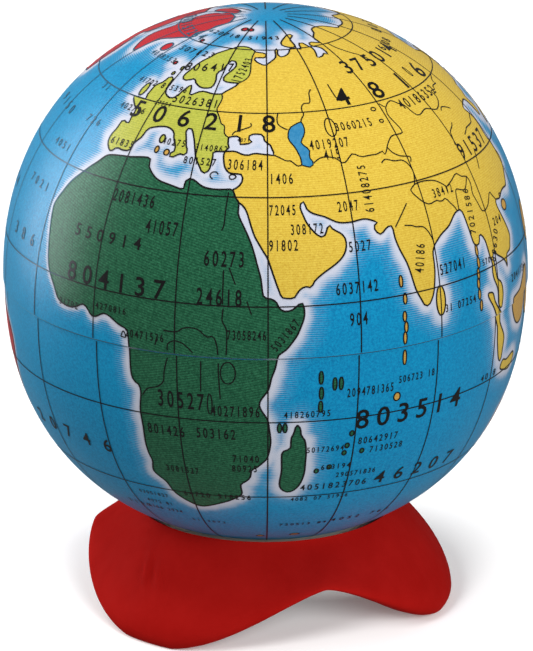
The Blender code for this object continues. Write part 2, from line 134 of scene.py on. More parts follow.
ASIA_COAST = pts("""
33,69.2 36,68.9 39.3,68.7 39.7,68 39.3,67 36.3,67 33.5,66.9 33.6,66 35.7,65.1 38,64.4 39.6,64.2 41.5,65.2
44.2,66.4 45.5,67.6 45.4,69.2 46.3,70.6 47.3,69.8 46.6,68.5 48,67.2 51,67.5 53.8,68.6 55.6,70.2 58,70.2
59.7,70.3 61.5,69.6 63,69.7 63.5,71 64,72 66.3,72.2 67.8,71.5 68.7,70.4 70,69.9 70.5,68.6 69.5,66.9
68.5,65.7 70.5,65.7 73.2,66.2 74,67 75.4,66.3 76.5,66.3 76.5,67.3 76.4,68.4 75.5,69.3 72.5,69.9 71,70.7
71.5,71.5 74,71.8 76.5,71.3 80,70.8 79.5,71.8 79.5,72.9 82,74.1 87,75.3 90,76.7 96,77.3 105,76.7 109,75.7
112,74.4 115,73 119,73.1 125,72.6 132,72.5 140,72.9 148,74 160,70 170,69.5 180,69 190,66 185,64.5 180,62.5
170,60 163,58 162,55 157,51.5 156,57 163,61.5 155,59.5 142,59 136,54.5 141,52 140,48 135,43.5 131,42.8
129.5,41 127.5,39.5 129.3,36.5 127,34.5 126,37 124.5,39.8 121.8,40.3 117.5,39.4 118.8,37.6 119.5,36.1
119.5,34.5 119,32.5 119,30.8 119.7,30.1 120,28 121,26 119.5,24.2 117.5,22.8 115.5,21.4 113.5,21.5 111,21.3
108.7,20.5 106.5,20.8 106,19.8 106.8,18 108,15.8 109,13.5 108.3,12.2 107.6,11 105.6,10.6 105.2,9.4 105.2,7.9
104.7,9 103.5,10.2 101,11.5 99.6,12.5 98.9,11.5 99.3,9.6 99.5,7.8 99.9,6.9 101.2,6 101.9,4.6 102,3 101.6,1.5
101,.7 99.8,1.8 99.8,3.5 99.5,5.3 98.3,7.4 98,9.3 98.3,10.5 97.7,12 97.3,13.8 97,15 96.3,16.1 95.2,16.7
94.7,15.6 94,15 92.8,15.3 92.3,16.2 92,17.8 91.7,19.5 91.2,21.8 90.3,22.3 88.6,22 87.2,21.2 85.4,20.1
83,19.3 81.3,18.4 80.1,17.6 79.3,16.5 79.2,15.3 79.1,13.4 78.7,11.3 78.3,9.6 77.8,8.4 76.9,7.1 76.2,6.8
75.4,7.2 74.8,8.3 73.5,10.6 72.6,13.7 71.9,15.8 70.7,18.1 69.9,20.4 69.8,22 69.3,22.8 67.9,22.3 66.5,21.5
65.3,22.3 65.2,23.2 66.1,23.7 65.5,24 63,24.7 59.8,24.4 56.9,24.5 55.1,25.1 53.3,25.9 51,26.5 49.4,27.4
48.9,28.7 48.4,29 47.7,28.1 48.4,26.2 49.2,24.7 50.8,23 52.2,22.2 53.2,22.6 53.8,23.8 54.4,24.2 55.1,23.4
56.8,22.6 57.7,21.6 57.8,20.3 57.1,18.8 55.3,17.4 52.1,15.8 50.1,14.5 49.3,13.4 47.9,13.6 46.4,12.7
45.5,11.6 43.1,11.7 42.6,12.4 41.4,15.2 40,18.6 39.4,19.4 37.9,21.4 36.9,22.8 35.8,25.3 34.8,27.5 33.5,28.7
33,28.9""")
ASIA_SUEZ = pts("33,28.9 32,30 31.3,31.5")
ASIA_WEST = pts("""
31.3,31.5 32.5,32.1 33.4,33.1 33.6,34.1 33.3,34.8 32.5,35 31.1,35 30,35.1 28.8,36.1 28.2,37.5 27.9,39 28,40
29.3,40.1 30.9,40.2 32.1,39.8 33.5,39.4 34.9,39.4 36.1,39.75 37.3,39.8 38.7,39.6 40.5,39.5 41.9,39.4
41.3,40.9 40.6,42.2 39.8,42.4 39.1,43 39,43.6 38.6,44.4 36.6,44.6 35.1,44.4 34.4,43.8 34.8,43 35.5,42.6
34.8,42.2 33.1,42 31.9,42 32.2,43 32,43.5 31.2,43.9 29.5,43.8 28.5,43.5""")
CASPIAN = pts("""
50.8,47.5 49.9,47.3 48,46.6 46.8,45.8 46.2,44.3 46.3,43 47.3,41.8 48,40.9 48.7,39.4 49.2,38.2 49.1,37
49.9,36.7 50.9,36.3 51.8,36.5 52.5,37.2 51.8,38.1 51.5,38.9 51.9,39.9 51.5,40.7 50.6,41.4 49.9,41.9
49.9,42.7 50.7,43.7 51.4,45 51.3,46.5""")
NOVAYA = pts("""
58,70.6 54.5,71 51.5,71.8 51.2,73 54,74.5 57.5,75.8 61.5,76.8 65,76.3 63,75.3 59.7,74.3 59.8,73 60.5,71.2""")
GREENLAND = pts("""
-41.5,58.8 -46,60 -52,62.5 -54,65 -54,67.5 -55,69.3 -58,70 -57,72.5 -65,73.5 -70,75.5 -72,78 -68,80 -70,82
-45,83.5 -35,83 -22,81.5 -20,79.5 -22,77.8 -20,76 -20,74.5 -24,72.5 -21,70.5 -26,69.2 -32,67.3 -36,66.2
-39,64.5 -40,62 -40,60.2""")
MADAGASCAR = pts("""
46.4,-10.6 47.1,-11.5 47.3,-13 48.2,-14.2 48.6,-17.3 48.6,-19.8 48.5,-23.6 47.4,-27 45.3,-28.6 43.4,-27.7
42.8,-25.8 43.2,-22.2 43.1,-17.6 43.7,-16.6 45,-16 45.1,-13.6 45.7,-12.3 46,-11""")
SUMATRA = pts("""
95.5,4.8 96.4,4.9 97.6,4.4 98.3,2.6 99.8,1 101,0 101.1,-1.2 103.5,-3.6 103.4,-5.5 103,-7.6 101.5,-6.6
100.3,-3.8 100,-1.8 99.3,-.7 97.7,1.6 96,3.6""")
JAVA = pts("103.5,-9 105.5,-9.8 109.5,-10.5 112,-9 111,-7.8 108.8,-8 106.5,-8.2 104.5,-7.7")
BORNEO = pts("108,.8 113,1.5 118,5 119,1 116,-3 112,-3.5 109,-1.8")
# The half of the map away from the front is laid out from general geography.
AMERICAS = pts("""
-168,66 -162,70 -156,71.5 -140,70 -128,70 -115,68.5 -95,72 -82,74 -75,72.5 -64,67 -62,62 -66,60 -60,57
-57,54 -57,50 -58,46 -66,44 -71,42 -76,36 -81,31.5 -80,26 -82,29 -90,30 -97,27 -97,22 -91,18.5 -87,21.5
-88,16 -83,15 -83,10 -77.5,8 -72,12 -62,10.5 -52,5 -50,0 -44,-2.5 -36,-6 -38,-13 -41,-22 -48,-27 -54,-34
-58,-38 -65,-42 -69,-54 -74,-51 -73,-40 -70,-19 -76,-14 -81,-5 -80,0 -77.5,5 -83,8 -95,16 -105,20 -117,33
-124,43 -124,48 -131,54 -140,60 -150,60 -158,56 -166,62""")
HUDSON = pts("-94,60 -88,57 -82,55 -80,52 -78.5,56 -77,62 -84,65 -92,63")
AUSTRALIA = pts("""
114,-22 122,-18 129,-15 131,-12 136,-12 136,-16 140,-17.5 142,-11 146,-19 153,-26 152,-33 147,-38 140,-37.5
135,-34.5 131,-31.5 124,-33.5 117,-35 114,-31""")
ELLESMERE = pts("-90,82.5 -80,84 -66,83.3 -75,80 -80,77 -90,76.5 -95,79.5")
JAPAN = pts("130,31.5 132,34 136,35.5 139,38 140,41.5 145,43.5 141,45 139.5,42 141.5,39 140.5,35.5 136,33.8")
NEW_GUINEA = pts("131,-1 137,-2 144,-4 150,-10 143,-9 138,-8 134,-4")
ANTARCTICA = [
    (lon, -76 + 3.5 * math.sin(math.radians(2 * lon + 40)) + 2 * math.sin(math.radians(5 * lon)))
    for lon in range(-180, 180, 6)]
LINES = [pts(line) for line in """
30.3,31 30,28 29.8,24.5 29.3,23.5 / 30.3,16.5 30.3,10.3 / 31.5,17 33,14 / 35.5,11 36.5,8.5 / 30.5,9.5 30.3,7
31.3,5 31.2,.4 / 17.5,4 20.5,4 22,5 25,5 27,3.5 28.5,3.7 29.3,1.5 29.4,.4 / 29.5,-.6 29.5,-2 29.8,-6 /
16,2.3 15.6,1 / 24,.4 22,1.8 20,2.2 18.5,1.5 18.4,.4 / 18.3,-.5 17.5,-2.5 17.3,-4 15.8,-5 13.5,-5.5
12.2,-6.7 / 25.7,-.5 25.6,-5 / 29.5,44.2 30,44.9 31.5,45.4 33.5,46 35,46.6 34.7,47.4 / 43.6,50 43.2,48.7
43.3,47.3 44.3,46.4 46.2,45.6 / 57.2,56.1 56,55 55.6,53 54.7,52.2 53.3,52.4 52,51.5 51.8,50.3 52.2,49.4
51.1,48.3 50.8,47.5 / 65,57 66,52.3 69.5,52.3 / 41.9,39.4 43.3,38.8 45.1,38 46.2,38 47.3,37.2 48.1,36.7
49.1,36.9 / 52.5,37.2 54,38.1 55.4,38.4 57,38.3 59,37.8 60.5,36.5 62,37.2 64,38.5 66,37.5 69,37.5 71.5,37.5
73,38 73.5,37 75,38.5 76,39.5 78.5,41 82.5,41 82,43.5 81,46 82,48 / 80.5,49.3 82,48 83.5,48.8 86,49.3 88,48
90,47 91,45 92.5,43.7 94.8,44 97,44.5 98.8,44.2 101.7,43.2 103.5,43.3 105.5,44 107.5,45.2 107.8,46.8
107.5,47.5 110.5,47 111.8,48 115.5,47.8 114.5,48.7 119,50 / 75,38.7 76,37.2 78,36 81,35.3 80.5,34.2 /
71.5,35.3 73,36 75.5,35.2 78,35 79.5,33.7 80,31.8 79,29.4 / 79,29.4 77.3,28.5 78,27.4 79.5,26 81.5,25
84,25.3 85.5,24.8 87,25.2 88,24.2 89.3,22.9 89.6,22.2 / 79,29.4 81.3,29.6 84.5,29.3 86.8,28.5 88.7,27.1
88.5,26 / 88.7,27.1 91.5,28 94,28.9 95.5,27.9 97.5,27.5 98,26.2 97.7,25.2 97.2,24 98,22 99,20.2 102,20.8
104.5,22.7 105.3,22 106.5,20.8 / 97.4,27.4 95,25.4 92.8,25.8 91.5,26 90.8,24.2 90.3,22.4 / 73,22.3 75,22
76,21.6 78,21.3 79.3,20 80,18.5 / 75,26.2 73,24.5 70.5,22.3 / 104.5,38.8 103.3,38.1 101,37.3 100.5,36.4
99.5,34.2 / 104,42.3 105.5,43 108,42.3 109.5,41.5 / 118.5,37.5 116.5,36.8 115,36 110.5,36 109,35.6 106.8,35
/ 107,31.5 105.5,29 104.5,27.5 / 84,70 85.5,67.8 88,66 90,64.8 93,63.3 95,61.5 / -124,48.5 -110,49 -95,49
-83,43 -75,45 -68,45.5 / -117,32.5 -108,31.5 -102,28.5 -97,26 / -50,-1 -58,-3 -66,-3.5 -74,-5 / -57,-34
-58,-26 -60,-20 -69,-17 / 129,-15 129,-31.5 / 141,-18 141,-38""".split("/")]
CRETE = pts("27.1,34.6 26.7,35.1 25.6,35.1 25,34.4 25.4,33.8 25.9,33.6")
GUINEA_MARK = pts("7.4,1.5 8.6,1.5 8,2.6 7.4,1.5")


def oval(lon, lat, half_lon, half_lat, count=14):
    turns = [2 * math.pi * k / count for k in range(count)]
    return [(lon + half_lon * math.cos(w), lat + half_lat * math.sin(w)) for w in turns]


def ovals(text):
    """Ovals from "lon,lat,half_lon,half_lat" groups."""
    return [oval(*values) for values in pts(text)]


def row_of_ovals(text, half_lon, half_lat):
    return [oval(lon, lat, half_lon, half_lat, 10) for lon, lat in pts(text)]


def softened(line, closed, rounds=2):
    """The line with its corners rounded, through Catmull-Rom."""
    p = np.array(line, float)
    for _ in range(rounds):
        if closed:
            a, b, c, d = np.roll(p, 1, 0), p, np.roll(p, -1, 0), np.roll(p, -2, 0)
        else:
            a, b, c, d = np.vstack([p[:1], p[:-2]]), p[:-1], p[1:], np.vstack([p[2:], p[-1:]])
        middle = (9 * (b + c) - a - d) / 16
        out = np.empty((2 * len(middle), 2))
        out[0::2], out[1::2] = p[:len(middle)], middle
        p = out if closed else np.vstack([out, p[-1:]])
    return p


EUROPE = EUROPE_COAST + EUROPE_BORDER[1:] + EUROPE_EAST[1:-1]
SCANDINAVIA = SCAN_COAST + SCAN_BORDER[1:-1]
ASIA = ASIA_START + SCAN_BORDER[1:-1] + ASIA_COAST + ASIA_SUEZ[1:] + ASIA_WEST[1:] + EUROPE_BORDER[::-1][1:-1]

RED_ISLES = ovals("-24.5,64.8,3,1.6 -9,70.8,1.3,.5 -7,61.5,.9,.5 14,79.5,3.6,.9 22,79.5,3,.7") + [ELLESMERE]
LIME_ISLES = ovals("-9.2,52.4,1.2,1.9 -2.8,58.5,.6,.5 -.8,60.5,.6,.6 8.5,41.4,.8,1")
MALDIVES = row_of_ovals("69.9,12.6 70.6,9.2 70.3,5.6 70.6,3.4 70.3,1.4 70.4,-1.4", .44, 1.1)
ANDAMANS = row_of_ovals("93,14.2 93,11.9 92.5,9.8 92.2,7.9 92.3,5.6 92.8,3.2", .45, 1.1)
TAN_ISLES = MALDIVES + ANDAMANS + ovals("8.1,38.7,.6,.8 11.3,38.4,.8,.7") + [BORNEO] + ovals(
    "110,19,1.4,1 68.9,-7.3,.8,.7 109.5,21,.5,.3 37.5,-43.5,1.4,.45 50,-43,1.8,.45 125,12,3,4 122,-2,3,2")
YELLOW_ISLES = [NOVAYA] + ovals("80,7.1,1.25,3.1") + [SUMATRA, JAVA, JAPAN] + ovals("143,50,1.6,4")
NORTHERLY = "51.3,-2.8 51.4,-5.2 51.3,-7.4 54.3,-3.9 55.7,-3.9 42.5,-11.2 43.7,-11.2"
GREEN_ISLES = [MADAGASCAR] + row_of_ovals(NORTHERLY, .45, 1.0)
GREEN_ISLES += row_of_ovals("58.8,-13.4 58,-16.3 57.5,-18.2 61.8,-18.2 54.4,-21.8 51.4,-22.7", .5, .62)
ORANGE_ISLES = [AUSTRALIA, NEW_GUINEA] + ovals("147,-42,2,1.6 170,-44,3,3 175,-39,2,3")
LANDS = {"asia": [ASIA] + YELLOW_ISLES, "africa": [AFRICA] + GREEN_ISLES,
         "europe": [EUROPE, SCANDINAVIA] + LIME_ISLES, "americas": [AMERICAS, GREENLAND] + RED_ISLES,
         "isles": TAN_ISLES, "oceania": ORANGE_ISLES, "polar": [ANTARCTICA]}
INLETS = {"caspian": [CASPIAN], "lakes": [HUDSON]}
OPEN_COASTS = [EUROPE_COAST, EUROPE_EAST, SCAN_COAST, ASIA_START, ASIA_COAST, ASIA_WEST]
CLOSED_COASTS = ([AFRICA, HUDSON, AMERICAS, GREENLAND, MADAGASCAR, BORNEO] + YELLOW_ISLES + LIME_ISLES
                 + RED_ISLES + ORANGE_ISLES)
# The smallest isles have an outline but no white round them.
BARE_COASTS = GREEN_ISLES[1:] + [isle for isle in TAN_ISLES if isle is not BORNEO]
EDGE = {"upper": 0.02, "lower": -0.02}  # latitude where each half's print ends


# ---- mesh helpers
def add_mesh(name, verts, faces, material, body=None, normals=None, smooth=True):
    """A new piece, which moves with its body; positions in metres."""
    mesh = bpy.data.meshes.new(name)
    mesh.from_pydata([tuple(v) for v in verts], [], [tuple(f) for f in faces])
    mesh.update()
    if smooth:
        mesh.shade_smooth()
    if normals is not None:
        mesh.normals_split_custom_set_from_vertices([tuple(n) for n in normals])
    mesh.materials.append(material)
    obj = bpy.data.objects.new(name, mesh)
    bpy.context.scene.collection.objects.link(obj)
    if body:
        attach(obj, body)
    return obj


def with_uv(obj, uv_of_vertex):
    layer = obj.data.uv_layers.new(name="UVMap")
    loops = np.zeros(len(obj.data.loops), np.int32)
    obj.data.loops.foreach_get("vertex_index", loops)
    layer.data.foreach_set("uv", np.asarray(uv_of_vertex, np.float32)[loops].ravel())


def with_value(obj, name, values):
    obj.data.attributes.new(name, "FLOAT", "POINT").data.foreach_set("value", np.asarray(values, np.float32))


def clip_to_half(poly, half):
    """The part of a closed outline that lies on one half of the globe."""
    edge = EDGE[half]
    keep = (lambda lat: lat >= edge) if half == "upper" else (lambda lat: lat <= edge)
    out = []
    for (x0, y0), (x1, y1) in zip(poly, np.roll(poly, -1, 0)):
        if keep(y0):
            out.append((x0, y0))
        if keep(y0) != keep(y1):
            share = (edge - y0) / (y1 - y0)
            out.append((x0 + share * (x1 - x0), edge))
    # Along the edge itself the outline keeps to the parallel.
    close = []
    for (x0, y0), (x1, y1) in zip(out, out[1:] + out[:1]):
        close.append((x0, y0))
        if y0 == edge and y1 == edge:
            n = int(abs(x1 - x0)) + 1
            close += [(x0 + (x1 - x0) * k / n, edge) for k in range(1, n)]
    return close


def filled(outline, half, lift, step=1.15):
    """Triangles of a closed outline on the globe: (points, normals, faces, UVs)."""
    p = np.array(outline, float)
    angle = curve_angle(p[:, 1])
    # The outline is triangulated on a flat chart about the half's pole.
    pole = 1.0 if half == "upper" else -1.0
    reach = 90.0 - pole * np.degrees(angle)
    w = np.radians(p[:, 0] - LON_FRONT)
    chart = np.stack([reach * np.sin(w), -reach * np.cos(w)], -1)
    gap = np.linalg.norm(np.roll(chart, -1, 0) - chart, axis=1)
    chart = chart[gap > 1e-4]
    unit = step / 30.0 * 180 / math.pi
    fine = []
    for a, b in zip(chart, np.roll(chart, -1, 0)):
        n = max(1, int(np.linalg.norm(b - a) / unit))
        fine += [a + (b - a) * k / n for k in range(n)]
    chart = np.array(fine)
    lo, hi = chart.min(0), chart.max(0)
    inner = []
    y, row = lo[1] + unit * .6, 0
    while y < hi[1]:
        xs = np.arange(lo[0] + unit * (.5 if row % 2 else 1.0), hi[0], unit)
        inner += [(x, y) for x in xs]
        y, row = y + unit * .87, row + 1
    inner = np.array(inner) if inner else np.zeros((0, 2))
    if len(inner):
        inside = np.zeros(len(inner), bool)
        near = np.zeros(len(inner), bool)
        for a, b in zip(chart, np.roll(chart, -1, 0)):
            cross = (a[1] > inner[:, 1]) != (b[1] > inner[:, 1])
            if cross.any():
                at = a[0] + (inner[:, 1] - a[1]) * (b[0] - a[0]) / (b[1] - a[1] if b[1] != a[1] else 1e-9)
                inside ^= cross & (inner[:, 0] < at)
            near |= np.hypot(inner[:, 0] - a[0], inner[:, 1] - a[1]) < unit * .45
        inner = inner[inside & ~near]
    verts = [Vector(v) for v in chart] + [Vector(v) for v in inner]
    edges = [(k, (k + 1) % len(chart)) for k in range(len(chart))]
    out, _, faces, *_ = delaunay_2d_cdt(verts, edges, [list(range(len(chart)))], 1, 1e-5)
    q = np.array([tuple(v) for v in out])
    reach = np.hypot(q[:, 0], q[:, 1])
    lon = np.degrees(np.arctan2(q[:, 0], -q[:, 1])) + LON_FRONT
    a = np.radians(pole * (90.0 - reach))
    a = np.maximum(a, 0) if half == "upper" else np.minimum(a, 0)
    point, normal = on_globe(lon, a, half, lift)
    return point, normal, [tuple(f) for f in faces], chart_uv(lon, a)


def chart_uv(lon, angle):
    """Whole-globe UV: longitude across from the back, curve angle up."""
    across = ((np.asarray(lon) - LON_FRONT + 180) % 360) / 360
    return np.stack([across, 0.5 + np.asarray(angle) / math.pi], -1)


def merged(parts):
    """One vertex, normal, face and UV list out of several."""
    verts, normals, faces, uvs, base = [], [], [], [], 0
    for point, normal, face, uv in parts:
        verts.append(point)
        normals.append(normal)
        uvs.append(uv)
        faces += [tuple(i + base for i in f) for f in face]
        base += len(point)
    return np.vstack(verts), np.vstack(normals), faces, np.vstack(uvs)


def facing_out(verts, normals, faces):
    """The faces, each turned to agree with the surface's own normals."""
    out = []
    for f in faces:
        a, b, c = verts[f[0]], verts[f[1]], verts[f[2]]
        out.append(tuple(f) if np.dot(np.cross(b - a, c - a), normals[f[0]]) > 0 else tuple(reversed(f)))
    return out


def ribbon(lonlat, half, width, lift, closed=False, step=0.45, angles=None):
    """A printed line of a given width (mm) along longitudes and latitudes."""
    p = np.array(lonlat, float)
    if closed:
        p = np.vstack([p, p[:1]])
    angle = curve_angle(p[:, 1]) if angles is None else np.asarray(angles, float)
    point, _ = on_globe(p[:, 0], angle, half)
    seg = np.linalg.norm(np.diff(point, axis=0), axis=1) / MM
    along = np.concatenate([[0], np.cumsum(seg)])
    if along[-1] < 0.15:
        return None
    count = max(2, int(along[-1] / min(step, along[-1] / 18)) + 1)
    at = np.linspace(0, along[-1], count)
    keep = np.concatenate([[True], seg > 1e-7])
    lon, ang = np.interp(at, along[keep], p[keep, 0]), np.interp(at, along[keep], angle[keep])
    point, normal = on_globe(lon, ang, half, lift)
    tangent = np.gradient(point, axis=0)
    if closed:
        tangent[0] = tangent[-1] = point[1] - point[-2]
    side = np.cross(normal, tangent)
    side /= np.maximum(np.linalg.norm(side, axis=1), 1e-12)[:, None]
    left, right = point + side * width * MM / 2, point - side * width * MM / 2
    verts = np.vstack([left, right])
    faces = [(k, k + 1, count + k + 1, count + k) for k in range(count - 1)]
    return verts, np.vstack([normal, normal]), faces, np.tile(chart_uv(lon, ang), (2, 1))


def runs_on_half(line, half, closed):
    """The stretches of a line that lie on one half."""
    p = np.array(line, float)
    if closed:
        p = np.vstack([p, p[:1]])
    edge = EDGE[half]
    inside = p[:, 1] >= edge if half == "upper" else p[:, 1] <= edge
    runs, current = [], []
    for k in range(len(p)):
        if k and inside[k] != inside[k - 1]:
            share = (edge - p[k - 1, 1]) / (p[k, 1] - p[k - 1, 1])
            crossing = p[k - 1] + share * (p[k] - p[k - 1])
            if inside[k]:
                current = [crossing]
            else:
                runs.append(current + [crossing])
                current = []
        if inside[k]:
            current.append(p[k])
    if len(current) > 1:
        runs.append(current)
    return [np.array(r) for r in runs if len(r) > 1]


# ---- materials
def srgb(r, g, b):
    parts = [c / 255 for c in (r, g, b)]
    return tuple(c / 12.92 if c <= 0.04045 else ((c + 0.055) / 1.055) ** 2.4 for c in parts) + (1.0,)


class Nodes:
    """Short ways to build a node material."""

    def __init__(self, name):
        self.material = bpy.data.materials.new(name)
        self.material.use_nodes = True
        self.tree = self.material.node_tree
        self.shader = self.tree.nodes["Principled BSDF"]

    def add(self, kind, **inputs):
        node = self.tree.nodes.new(kind)
        for key, value in inputs.items():
            self.set(node, key.replace("_", " "), value)
        return node

    def set(self, node, key, value):
        socket = node.inputs[int(key) if key.isdigit() else key]
        if isinstance(value, bpy.types.NodeSocket):
            self.tree.links.new(value, socket)
        else:
            socket.default_value = value

    def math(self, operation, a, b=None, clamp=False):
        node = self.add("ShaderNodeMath")
        node.operation = operation
        node.use_clamp = clamp
        self.set(node, "0", a)
        if b is not None:
            self.set(node, "1", b)
        return node.outputs[0]

    def mix(self, factor, a, b):
        node = self.add("ShaderNodeMix")
        node.data_type = "RGBA"
        for key, value in (("0", factor), ("6", a), ("7", b)):
            self.set(node, key, value)
        return node.outputs[2]

    def noise(self, scale, detail=3.0, roughness=0.55, vector=None):
        node = self.add("ShaderNodeTexNoise", Scale=scale, Detail=detail, Roughness=roughness)
        if vector is None:
            vector = self.place()
        self.tree.links.new(vector, node.inputs["Vector"])
        return node.outputs["Fac"]

    def place(self):
        return self.add("ShaderNodeTexCoord").outputs["Object"]

    def value(self, name):
        node = self.add("ShaderNodeAttribute")
        node.attribute_name = name
        return node.outputs["Fac"]

    def ramp(self, value, low, high, out_low=0.0, out_high=1.0, smooth=False):
        node = self.add("ShaderNodeMapRange")
        node.interpolation_type = "SMOOTHSTEP" if smooth else "LINEAR"
        self.tree.links.new(value, node.inputs[0])
        for k, v in zip((1, 2, 3, 4), (low, high, out_low, out_high)):
            node.inputs[k].default_value = v
        return node.outputs[0]

    def bump(self, height, strength, distance):
        node = self.add("ShaderNodeBump", Strength=strength, Distance=distance, Height=height)
        self.tree.links.new(node.outputs[0], self.shader.inputs["Normal"])

    def finish(self, colour, roughness, metallic=0.0, specular=0.5):
        self.set(self.shader, "Base Color", colour)
        self.set(self.shader, "Roughness", roughness)
        self.set(self.shader, "Metallic", metallic)
        self.set(self.shader, "Specular IOR Level", specular)
        return self.material


PRINT_ROUGH, PRINT_SPEC = 0.36, 0.36


def varnish(n):
    """Slight unevenness of the varnish over the print."""
    grain = n.noise(4400, 2.0)
    n.bump(grain, 0.34, 0.00004)
    return n.ramp(n.noise(260, 3.0), 0.3, 0.7, PRINT_ROUGH - 0.03, PRINT_ROUGH + 0.04)


def land_material(name, base, deep, ink, pitch, lean, weight):
    """Printed land: a speckled ink with a fine line screen over it."""
    n = Nodes(name)
    arc, round_ = n.value("arc"), n.value("round")
    phase = n.math("ADD", n.math("MULTIPLY", arc, 2 * math.pi / pitch), n.math("MULTIPLY", round_, lean))
    screen = n.ramp(n.math("SINE", phase), -0.3, 0.9, 0.0, weight, True)
    mottle = n.ramp(n.noise(3300, 3.0, 0.75), 0.36, 0.62, 0.0, 1.0)
    tone = n.mix(mottle, base, deep)
    fleck = n.ramp(n.noise(4600, 2.0, 0.6), 0.50, 0.70, 0.0, 0.45)
    colour = n.mix(n.math("ADD", screen, fleck, True), tone, ink)
    return n.finish(colour, varnish(n), specular=PRINT_SPEC)


HATCH = 0.25  # pitch of the ocean's fine lines, mm


def sea_material():
    """Ocean ink that breaks up into fine lines and then bare white near a coast."""
    n = Nodes("printed_sea")
    coast, arc = n.value("coast"), n.value("arc")
    far = n.math("ADD", coast, n.ramp(n.noise(420, 2.0), 0.3, 0.7, -0.22, 0.22))
    cover = n.ramp(far, 0.25, 1.75, 0.02, 1.0, True)
    lean = n.math("MULTIPLY", n.value("round"), 0.25)
    wave = n.math("SINE", n.math("ADD", n.math("MULTIPLY", arc, 2 * math.pi / HATCH), lean))
    swing = n.math("MULTIPLY", n.ramp(far, 0.4, 1.1, 0.0, 1.0, True), n.ramp(far, 1.1, 3.4, 0.26, 0.0, True))
    ink = n.math("ADD", cover, n.math("MULTIPLY", wave, swing), True)
    broad = n.ramp(n.noise(70, 3.0, 0.6), 0.35, 0.65, 0.0, 1.0)
    blue = n.mix(broad, srgb(0, 134, 192), srgb(0, 142, 200))
    dots = n.ramp(n.noise(3600, 3.0, 0.8), 0.38, 0.62, 0.0, 1.0)
    blue = n.mix(dots, blue, srgb(10, 168, 222))
    colour = n.mix(ink, srgb(226, 230, 246), blue)
    return n.finish(colour, varnish(n), specular=PRINT_SPEC)


def plain_print(name, colour, second):
    """One printed ink, slightly uneven."""
    n = Nodes(name)
    tone = n.mix(n.ramp(n.noise(2500, 3.0), 0.35, 0.65), colour, second)
    return n.finish(tone, varnish(n), specular=PRINT_SPEC)


def moulded(name, colour, second, rough, grain, gloss=0.35):
    """Injection-moulded plastic with a fine spark texture."""
    n = Nodes(name)
    tone = n.mix(n.ramp(n.noise(160, 4.0, 0.6), 0.35, 0.65), colour, second)
    n.bump(n.noise(3400, 4.0, 0.7), grain, 0.00008)
    uneven = n.ramp(n.noise(700, 3.0), 0.3, 0.7, rough - 0.05, rough + 0.06)
    return n.finish(tone, uneven, specular=gloss)


def metal(name, colour, second, rough, stretch=(1, 1, 1), scale=1800, strength=0.15):
    """Bare metal with fine streaks, drawn out along an axis by stretch."""
    n = Nodes(name)
    mapping = n.add("ShaderNodeMapping")
    n.tree.links.new(n.place(), mapping.inputs["Vector"])
    mapping.inputs["Scale"].default_value = stretch
    streak = n.noise(scale, 4.0, 0.65, mapping.outputs[0])
    n.bump(streak, strength, 0.00005)
    tone = n.mix(n.ramp(streak, 0.35, 0.65), colour, second)
    return n.finish(tone, n.ramp(streak, 0.3, 0.7, rough - 0.06, rough + 0.08), metallic=1.0)


def give(material, *names):
    """Packed pieces get a material."""
    for name in names:
        nodes[name].data.materials.clear()
        nodes[name].data.materials.append(material)


def ink_material():
    """Black line ink, paled towards the sea's blue where an attribute says so: a painted highlight, where the
    shine on the left washes the ink out.
    """
    n = Nodes("ink_black")
    black = n.mix(n.ramp(n.noise(2500, 3.0), 0.35, 0.65), srgb(12, 11, 13), srgb(22, 19, 20))
    # The ink is mixed towards the sea's blue under the shine on the left: a painted highlight.
    colour = n.mix(n.value("painted_shine_paling"), black, srgb(54, 118, 152))
    return n.finish(colour, varnish(n), specular=PRINT_SPEC)


INK = ink_material()
SEA = sea_material()
LAND = {key: land_material(name, srgb(*base), srgb(*deep), srgb(*ink), pitch, lean, weight)
        for key, name, base, deep, ink, pitch, lean, weight in (
            ("asia", "print_yellow", (254, 222, 90), (238, 202, 72), (214, 168, 50), 0.26, 0.0, 0.32),
            ("africa", "print_green", (54, 130, 92), (24, 92, 62), (12, 66, 44), 0.30, 1.6, 0.50),
            ("europe", "print_lime", (214, 216, 90), (196, 200, 78), (158, 170, 62), 0.28, 0.0, 0.28),
            ("americas", "print_red", (218, 44, 56), (206, 38, 50), (168, 26, 38), 0.28, 0.0, 0.30),
            ("isles", "print_tan", (232, 186, 90), (222, 174, 82), (186, 132, 56), 0.26, 0.0, 0.30),
            ("oceania", "print_orange", (232, 132, 44), (222, 122, 42), (184, 88, 30), 0.26, 0.0, 0.30),
            ("polar", "print_polar", (226, 226, 230), (214, 216, 224), (180, 186, 204), 0.26, 0.0, 0.30))}
WATER = {"caspian": plain_print("print_caspian", srgb(48, 138, 190), srgb(70, 152, 200)),
         "lakes": plain_print("print_lakes", srgb(150, 186, 218), srgb(176, 200, 226))}
TIN_BARE = metal("tin_bare", srgb(190, 190, 186), srgb(160, 161, 160), 0.34)
TIN_RIM = metal("tin_rim", srgb(150, 164, 172), srgb(118, 134, 144), 0.34)
RED = moulded("red_moulded", srgb(198, 30, 26), srgb(188, 25, 21), 0.60, 0.34, gloss=0.008)


# ---- the printed skins
MM_PER_DEGREE = 0.52


def dense(line, closed):
    """Points about 0.35 mm apart along a coast, for measuring distance."""
    p = np.array(line, float)
    if closed:
        p = np.vstack([p, p[:1]])
    out = []
    for a, b in zip(p[:-1], p[1:]):
        shrink = math.cos(math.radians(0.5 * (a[1] + b[1])))
        length = math.hypot((b[0] - a[0]) * shrink, b[1] - a[1]) * MM_PER_DEGREE
        n = max(1, int(length / 0.35))
        out += [a + (b - a) * k / n for k in range(n)]
    return out


